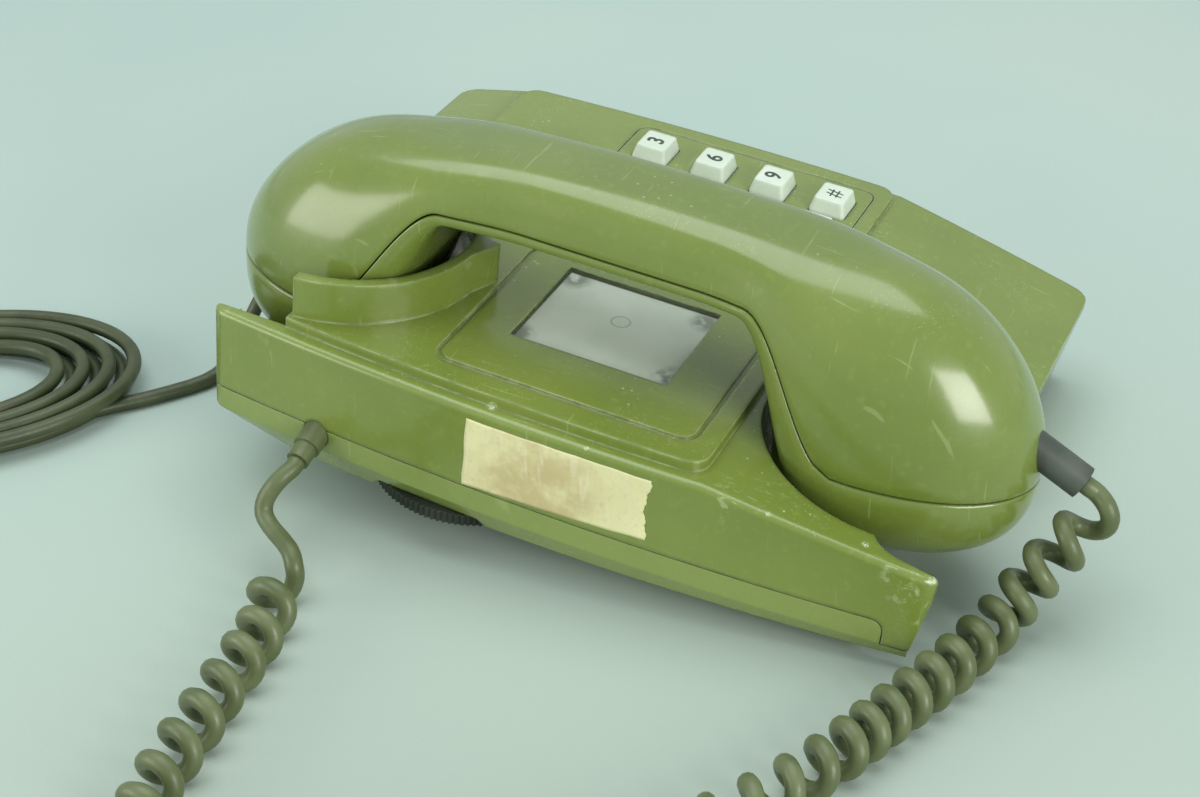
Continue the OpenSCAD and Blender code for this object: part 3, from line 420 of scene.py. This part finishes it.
# Cords: gap to a boot, strand and curl diameters, height of a curl's axis, points in a curl
GAP = 0.3
CURL_D, CURL_OD, LINE_D = 4.6, 13.4, 4.0
CURL_Z = CURL_OD / 2 + 0.2
CURL_STEPS = 8
FINER, SIDES = 3, 12  # steps between two points of a path, sides of a tube
CURL_FLAT = [(-105.7, 59.3), (-117.1, 54.5), (-127, 52), (-136.6, 50.7), (-147.6, 49.6), (-157.7, 48.3),
             (-168.2, 47.2), (-178.5, 45.5), (-188, 43), (-196.5, 38), (-202, 30), (-203.5, 20.5),
             (-201, 11), (-196.5, 2), (-191.5, -6.5), (-186.5, -15), (-181.5, -23.5), (-176, -32),
             (-170, -40.3), (-163.5, -48.2), (-156.3, -55.6), (-148.3, -62.4), (-139.5, -68.5),
             (-130.3, -74.4), (-121.4, -79.4), (-112.8, -83.4), (-104.8, -86.5), (-98.2, -88.9),
             (-91, -91.5), (-83.6, -94.2), (-76, -97), (-68, -99.5), (-59.2, -102)]
CURL_RISE = [(-50.5, -104.6, 8), (-44.6, -107.8, 13), (-40.2, -112, 19.5), (-35.4, -117, 26.2),
             (-27.6, -120.4, 31.2)]
CURL_ROUTE = np.array([(x, y, CURL_Z) for x, y in CURL_FLAT] + CURL_RISE)

# Boots of the curly cord: start in the slab frame, dip and length
BODY_BOOT = [1, BODY_L - 32.5, -1], math.radians(17), 13.5
HANDSET_BOOT = [BAY_X, MID_HS_Y - 99.3, SEAT_Z + 10.2], math.radians(23.7), 18

# Hank of the line cord: loops, points in a loop, half axes, how both shrink in a loop, middle, axes
LOOPS, LOOP_STEPS = 4, 24
HANK_A, HANK_B = 52, 35
SHRINK_A, SHRINK_B = 7, LINE_D + 0.6
HANK_MID = np.array([-65.2, 188.5])
HANK_U, HANK_V = np.array([0.6, -0.8]), np.array([-0.8, -0.6])


def spline(p, i, t):
    """The point at t between the points i and i + 1 of a smooth curve."""
    a, b, c, d = p[max(i - 1, 0)], p[i], p[i + 1], p[min(i + 2, len(p) - 1)]
    square, cube = 2 * a - 5 * b + 4 * c - d, 3 * b - a - 3 * c + d
    return 0.5 * (2 * b + t * (c - a) + t * t * square + t ** 3 * cube)


def refine(p, n):
    p = np.asarray(p, float)
    out = [spline(p, i, k / n) for i in range(len(p) - 1) for k in range(n)]
    return np.array(out + [p[-1]])


def boot_tip(start, way, reach):
    """End and direction, in the object frame, of a boot that starts at a slab point."""
    way = np.array(way)
    return to_object(np.array(start) + reach * way), turn(way)


def curl_path():
    """The curly cord from the body boot to the handset boot."""
    stretches = len(CURL_ROUTE) - 1

    def axis(s):
        i = min(int(s), stretches - 1)
        return spline(CURL_ROUTE, i, s - i)

    curls, ds = [], 0.05
    for k in range(CURL_STEPS * stretches - 1):
        s = k / CURL_STEPS
        t = unit(axis(min(s + ds, stretches)) - axis(max(s - ds, 0)))
        a = unit(np.cross([0, 0, 1], t))
        b = np.cross(t, a)
        turned = math.radians(360 / CURL_STEPS * k)
        out = math.cos(turned) * a - math.sin(turned) * b
        curls.append(axis(s) + (CURL_OD - CURL_D) / 2 * out)
    start, dip, reach = BODY_BOOT
    tip, way = boot_tip(start, [-math.cos(dip), 0, -math.sin(dip)], reach)
    first = [tip + GAP * way, tip + 2.5 * way, [-87.5, 68.2, 21.5], [-90.3, 70.6, 17.3],
             [-92.3, 70.4, 13.9], [-94.8, 66.8, 12.2], [-98, 61.8, 12], [-101.2, 57.7, 12],
             [-103.4, 55.6, 10]]
    start, dip, reach = HANDSET_BOOT
    tip, way = boot_tip(start, [0, -math.cos(dip), -math.sin(dip)], reach)
    return refine(np.array([*first, *curls, tip + 1.8 * way, tip + GAP * way]), FINER)


def line_path():
    """The line cord from its gland through the hank to the plug."""
    z = LINE_D / 2 + 0.1
    tip, way = to_object([64, BODY_L + 6, -5.2]), turn([0, 1, 0])
    route = [tip + GAP * way, tip + 4.2 * way, [-6.3, 115, 26.3], [-8.2, 120.3, 21], [-11.5, 123.5, 14],
             [-16, 125, 7.5], [-22.5, 125.6, 3.6], [-31.5, 128, z], [-44.5, 137, z], [-55.1, 146.2, z],
             [-66.7, 154.6, z], [-79, 161.6, z]]
    turns = 2 * LOOPS - 1
    hank = []
    for k in range(LOOP_STEPS * turns + 1):
        s = k / LOOP_STEPS
        q = min(s, turns - s)
        a = math.radians(90 + 360 / LOOP_STEPS * k)
        p = (HANK_MID + (HANK_A - SHRINK_A * q) * math.cos(a) * HANK_U
             + (HANK_B - SHRINK_B * q) * math.sin(a) * HANK_V)
        hank.append([p[0], p[1], z + SHRINK_B * ease((s - LOOPS + 0.75) / 0.5)])
    out = [[-103.5, 184.4, z + SHRINK_B], [-111, 194.9, z + 2.6], [-117, 203.4, z], [-121, 209, z],
           [-123.3, 212.2, z]]
    return refine(np.array([*route, *hank, *out]), FINER)


def tube(name, path, d, sides, mat):
    """A closed round tube along a path, without twist."""
    t = np.gradient(path, axis=0)
    t /= np.linalg.norm(t, axis=1)[:, None]
    u = np.array([0.1, 0.2, 1.0])
    verts, n = [], len(path)
    ang = np.arange(sides) * 2 * math.pi / sides
    for i in range(n):
        u = unit(u - np.dot(u, t[i]) * t[i])
        w = np.cross(t[i], u)
        verts.extend(path[i] + d / 2 * (np.cos(ang)[:, None] * u + np.sin(ang)[:, None] * w))
    faces = []
    for i in range(0, (n - 1) * sides, sides):
        for k in range(sides):
            after = (k + 1) % sides
            faces.append((i + k, i + after, i + sides + after, i + sides + k))
    faces += [tuple(reversed(range(sides))), tuple((n - 1) * sides + k for k in range(sides))]
    return new_mesh(name, verts, faces, mat)


path = curl_path()
curly = tube("curly_cord_look", path, CURL_D, SIDES, CORD)
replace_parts(curly, "curly_cord")
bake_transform(curly)

path = line_path()
line = tube("line_cord_look", path, LINE_D, SIDES, DARK_CORD)
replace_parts(line, "line_cord", "line_cord_hank")
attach(line, "body")

# Handset: half length, half widths of grip and ends, crown, underside of the grip, wall
HALF, GRIP_HW, END_HW, CROWN, ARCH, SHELL = 106.0, 17.5, 26.5, 70.1, 51.0, 2.2
# Its seam: height over the arch, gap, rounded lip, points that two lips add to an arc
SEAM_UP, SEAM_GAP, LIP, LIP_POINTS = 4.9, 0.4, 0.7, 4
# Its ends: length, drop of the crown, distances from the middle where seam and underside start to fall
FRONT_END, REAR_END = (46.0, 8, 33.5, 31.5), (42.0, 13, 44.5, 42.5)
SEAM_FALL, LOW_FALL = 29, 25
LEAST = 0.3  # share of a measure that a lip or an inset leaves
LOW_POWER = 0.667  # roundness of the underside
OUTER_STEPS, INNER_STEPS = 56, 24


def hs(y):
    """Half width, top, exponent, seam height and underside of the handset at a slab y."""
    end, drop, seam_at, low_at = FRONT_END if y < MID_HS_Y else REAR_END
    d = abs(y - MID_HS_Y)
    t = np.clip((d - HALF + end) / end, 0, 1)
    round_end, blunt = math.sqrt(1 - t ** 2.2), (1 - t ** 3) ** 0.333
    b = HALF - end
    bulb = float(ease((d - 0.35 * b) / (0.65 * b + 8)))
    w = (GRIP_HW + (END_HW - GRIP_HW) * bulb) * round_end
    top = SEAT_Z + (CROWN - SEAT_Z - drop * (d / HALF) ** 2) * round_end
    seam = SEAT_Z + (ARCH + SEAM_UP - SEAT_Z) * (1 - float(ease((d - seam_at) / SEAM_FALL)))
    low = SEAT_Z * (1 - blunt)
    low = low + (ARCH - low) * (1 - float(ease((d - low_at) / LOW_FALL)))
    return w, top, 5 - 2.7 * bulb, seam, low


def lipped(arc, z):
    """An arc with its two ends rounded inward to the height of the seam."""
    def end(p):
        way = math.copysign(min(LIP, LEAST * abs(p[0] - BAY_X)), BAY_X - p[0])
        return [p[0] + way, p[1], z], [p[0] + 0.3 * way, p[1], z + 0.3 * (p[2] - z)]

    (a, b), (c, d) = end(arc[0]), end(arc[-1])
    return [a, b, *arc, d, c]


def over(y, n, inset=0.0):
    """An arc of the upper shell at a slab y, over the crown from seam to seam."""
    w, top, p, seam, _ = hs(y)
    if not inset:
        seam, n = seam + LIP, n - LIP_POINTS
    w, top = max(LEAST * w, w - inset), SEAT_Z + max(LEAST * (top - SEAT_Z), top - SEAT_Z - inset)
    f = min(0.98, max(0, (seam - SEAT_Z) / (top - SEAT_Z)))
    a0 = math.asin(f ** (p / 2))
    out = []
    for i in range(n + 1):
        a = a0 + (math.pi - 2 * a0) * i / n
        c, s = math.cos(a), max(0.0, math.sin(a))
        z = seam if i in (0, n) else SEAT_Z + (top - SEAT_Z) * s ** (2 / p)
        out.append([BAY_X + w * math.copysign(abs(c) ** (2 / p), c), y, z])
    return out if inset else lipped(out, seam - LIP)


def under(y, n, inset=0.0):
    """An arc of the lower shell at a slab y, under the handset from seam to seam."""
    w, top, p, seam, low = hs(y)
    f = min(1, max(0, (seam - SEAT_Z) / max(0.01, top - SEAT_Z)))
    w *= (1 - f ** p) ** (1 / p)
    zs = seam - SEAM_GAP
    if not inset:
        zs, n = max(zs - LIP, low + LEAST * (zs - low)), n - LIP_POINTS
    else:
        w = max(LEAST * w, w - inset)
        inner_low = hs(y + math.copysign(inset, MID_HS_Y - y))[4] + inset
        low = min(zs - LEAST * (zs - low), inner_low)
    out = []
    for i in range(n + 1):
        a = math.pi * i / n
        c, s = math.cos(a), max(0.0, math.sin(a))
        x = BAY_X + w * math.copysign(abs(c) ** LOW_POWER, c)
        out.append([x, y, zs - (zs - low) * s ** LOW_POWER])
    return out if inset else lipped(out, seam - SEAM_GAP)


def stations():
    """Slab y of the sections, closer toward the two ends."""
    front = [-HALF + FRONT_END[0] * (1 - math.sin(math.radians(a))) for a in np.linspace(89, 3, 30)]
    rear = [HALF - REAR_END[0] * (1 - math.sin(math.radians(a))) for a in np.linspace(3, 89, 30)]
    return [MID_HS_Y + s for s in [*front, *np.linspace(-58, 63, 100), *rear]]


def shell(name, arc, mat, flip):
    """A closed shell: arcs outside and inside, joined along the seam and at both ends."""
    ys, n, m = stations(), OUTER_STEPS, INNER_STEPS
    outer = [arc(y, n) for y in ys]
    inner = [arc(MID_HS_Y + (y - MID_HS_Y) * (HALF - SHELL) / HALF, m, SHELL) for y in ys]
    a, b, e = n + 1, m + 1, len(ys) - 1
    o = len(ys) * a
    faces = grid(e, n) + grid(e, m, o, inward=True)
    for j in range(e):
        faces.append((j * a, o + j * b, o + (j + 1) * b, (j + 1) * a))
        faces.append((j * a + n, (j + 1) * a + n, o + (j + 1) * b + m, o + j * b + m))
    faces += [tuple(range(a)), tuple(e * a + i for i in reversed(range(a))),
              tuple(o + i for i in reversed(range(b))), tuple(o + e * b + i for i in range(b)),
              (0, n, o + m, o), (e * a, o + e * b, o + e * b + m, e * a + n)]
    if flip:
        faces = [tuple(reversed(f)) for f in faces]
    verts = [to_object(p) for ring in outer + inner for p in ring]
    obj = new_mesh(name, verts, faces, mat)
    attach(obj, "handset")
    return obj


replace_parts(shell("handset_upper_look", over, HANDSET, False), "handset_upper")
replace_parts(shell("handset_lower_look", under, HANDSET, True), "handset_lower")

# Marks on the keys: middle of the first key, pitch, height of the tops, and how far a mark lies over them
KEY_X0, KEY_Y0, PITCH, KEY_TOP, MARK_UP = 89.9, 71.6, 17.6, 31.4, 0.02
SIGNS = {"star": "*", "hash": "#"}
MARK_SIZE, STAR_SIZE, MARK_DEPTH = 0.0066, 0.008, 0.00003
BOLDER = 0.00014  # widens the strokes of the digits


def slab_matrix(x, y, z):
    m = Matrix.Rotation(TILT, 4, "X")
    m.translation = Vector(to_object([x, y, z]) * MM)
    return m


def add_mark(label, i, j):
    """The digit or sign of the key in column i and row j."""
    font = bpy.data.curves.new("mark_" + label, "FONT")
    font.body = SIGNS.get(label, label)
    font.size = STAR_SIZE if label == "star" else MARK_SIZE
    font.offset = BOLDER if label.isdigit() else 0.0
    font.align_x, font.align_y = "CENTER", "CENTER"
    font.extrude = MARK_DEPTH
    holder = add("mark_holder", font)
    depsgraph = bpy.context.evaluated_depsgraph_get()
    me = bpy.data.meshes.new_from_object(holder.evaluated_get(depsgraph))
    bpy.data.objects.remove(holder)
    me.materials.clear()
    me.materials.append(INK)
    obj = add("mark_" + label, me)
    obj.matrix_world = slab_matrix(KEY_X0 + i * PITCH, KEY_Y0 + j * PITCH, KEY_TOP + MARK_UP)
    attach(obj, "key_" + label)


for j, row in enumerate(KEY_ROWS):
    for i, label in enumerate(row):
        add_mark(label, i, j)

# Left top edge of the upper housing: height, where and how it slopes to the front, corners, rounding
RIM_Z, RIM_Y, RIM_SLOPE, CORNER, RIM_R = 22.7, 57.5, 0.143, 5.0, 1.6
# Its rear end: how far the edge runs to the right and down, and the zone of the corner's top
REAR_X, REAR_Z, REAR_TOP_Z, REAR_DEEP = 13, 13.5, 20, 0.5
NEAR = 0.15
WELD, FLAT_ANGLE, SHARP_ANGLE = 1e-5, math.radians(0.5), math.radians(32)


def on_rim(p):
    """Whether a slab point is on the outer top edge of the left side, its corners or its rear end."""
    x, y, z = p
    inner_x = side_x(CORNER) + CORNER
    if y > BODY_L - NEAR and inner_x - NEAR < x < REAR_X + NEAR:
        return z > REAR_Z
    top = abs(z - RIM_Z + RIM_SLOPE * max(0, RIM_Y - y)) < NEAR
    top = top or (y > BODY_L - REAR_DEEP and z > REAR_TOP_Z)
    if CORNER <= y <= BODY_L - CORNER:
        return top and x < side_x(y) + NEAR
    corner = math.hypot(x - inner_x, y - np.clip(y, CORNER, BODY_L - CORNER))
    return top and x < inner_x and abs(corner - CORNER) < NEAR


def rounded_housing():
    """The upper housing again, with its left top edge rounded."""
    node = NODES["upper_housing"]
    bm = bmesh.new()
    bm.from_mesh(node.data)
    bm.transform(node.matrix_world)
    bmesh.ops.remove_doubles(bm, verts=bm.verts, dist=WELD)
    bmesh.ops.dissolve_limit(bm, angle_limit=FLAT_ANGLE, verts=bm.verts, edges=bm.edges)
    rim = {v for v in bm.verts if on_rim(to_slab(np.array(v.co) / MM))}
    edges = [e for e in bm.edges if all(v in rim for v in e.verts)]
    bmesh.ops.bevel(bm, geom=edges, offset=RIM_R * MM, segments=5, profile=0.5, affect="EDGES")
    me = bpy.data.meshes.new("upper_housing_look")
    bm.to_mesh(me)
    bm.free()
    me.attributes.remove(me.attributes["custom_normal"])
    me.shade_smooth()
    me.set_sharp_from_angle(angle=SHARP_ANGLE)
    me.materials.append(HOUSING)
    obj = add("upper_housing_look", me)
    obj.modifiers.new("normals", "WEIGHTED_NORMAL").keep_sharp = True
    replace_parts(obj, "upper_housing")
    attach(obj, "body")


rounded_housing()

# Paper sticker on the left side: slab y of its torn end, length, top, thickness, squares of its mesh
STICKER_Y, STICKER_L, STICKER_TOP, STICKER_THICK = 69.3, 47.6, 20.0, 0.07
STICKER_NX, STICKER_NZ = 64, 28


def sticker_point(a, b):
    """The point at a along and b up the sticker (0 to 1), with a torn end and uneven edges."""
    low = 2.6 - 2.4 * a
    torn = 0.5 * math.sin(7 * b + 1) + 0.22 * math.sin(23 * b) + 0.12 * math.sin(61 * b + 2)
    y = STICKER_Y + STICKER_L * a - torn * (1 - a) ** 4 + 0.12 * math.sin(11 * b) * a ** 4
    wavy = 0.12 * math.sin(5 * a) + 0.05 * math.sin(31 * a + 2)
    z = low + (STICKER_TOP - low) * b + wavy * (2 * b - 1)
    lift = 0.08 + 0.05 * math.sin(9 * a + 4 * b) ** 2
    return to_object([side_x(y) - lift, y, z])


def add_sticker():
    verts = [sticker_point(i / STICKER_NX, j / STICKER_NZ)
             for j in range(STICKER_NZ + 1) for i in range(STICKER_NX + 1)]
    obj = new_mesh("paper_sticker", verts, grid(STICKER_NZ, STICKER_NX), PAPER)
    obj.modifiers.new("sheet", "SOLIDIFY").thickness = STICKER_THICK * MM
    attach(obj, "body")


add_sticker()

# Stage: half size and tones of the floor, place and reach of a painted pool of warm light on it, light of
# the room
FLOOR = 6
CLOTH, CLOTH_PALE = (0.372, 0.466, 0.430), (0.405, 0.486, 0.440)
WARM_LIGHT_TONE, CLOTH_GRAIN = (0.362, 0.419, 0.358), (0.31, 0.39, 0.35)
WARM_LIGHT_AT, WARM_LIGHT_R = (-330, -130, 0), 480
ROOM, ROOM_POWER = (0.80, 0.90, 0.92, 1), 0.67


def add_floor():
    s = Shader("table_cloth")
    color = s.mix(s.ramp(s.noise(5, 3), 0.3, 0.7), CLOTH, CLOTH_PALE)
    # painted light: a warmer pool on the floor toward the front, in place of a warm lamp
    color = s.mix(s.near(WARM_LIGHT_AT, WARM_LIGHT_R), color, WARM_LIGHT_TONE)
    color = s.mix(s.ramp(s.noise(900, 2), 0.3, 0.8, 0.0, 0.12), color, CLOTH_GRAIN)
    s.bump(s.noise(1200, 2), 0.05, 0.0003)
    mat = s.done(color, 0.85, specular=0.2)
    me = bpy.data.meshes.new("floor")
    corners = [(-FLOOR, -FLOOR, 0), (FLOOR, -FLOOR, 0), (FLOOR, FLOOR, 0), (-FLOOR, FLOOR, 0)]
    me.from_pydata(corners, [], [(0, 1, 2, 3)])
    me.materials.append(mat)
    obj = add("floor", me)


def add_light(name, place, target, size, power, color):
    data = bpy.data.lights.new(name, "AREA")
    data.shape = "RECTANGLE"
    data.size, data.size_y = size
    data.energy = power
    data.color = color
    obj = add(name, data)
    obj.location = place
    obj.rotation_euler = (Vector(target) - Vector(place)).to_track_quat("-Z", "Y").to_euler()


def add_room():
    world = bpy.data.worlds.new("room")
    bpy.context.scene.world = world
    world.use_nodes = True
    background = world.node_tree.nodes["Background"]
    background.inputs["Color"].default_value = ROOM
    background.inputs["Strength"].default_value = ROOM_POWER


add_floor()
add_light("overhead", (0.1, 0.12, 1.25), (0, 0, 0.03), (1.3, 1.1), 12, (0.94, 0.99, 1.0))
add_light("window", (-0.66, -1.15, 0.46), (0, -0.1, 0.06), (0.70, 0.72), 14, (1.0, 1.0, 0.94))
add_light("side", (-0.87, 0.97, 0.36), (0, 0, 0.05), (0.95, 0.65), 8, (1.0, 1.0, 0.92))
add_room()
bpy.context.scene.view_settings.view_transform = "Standard"
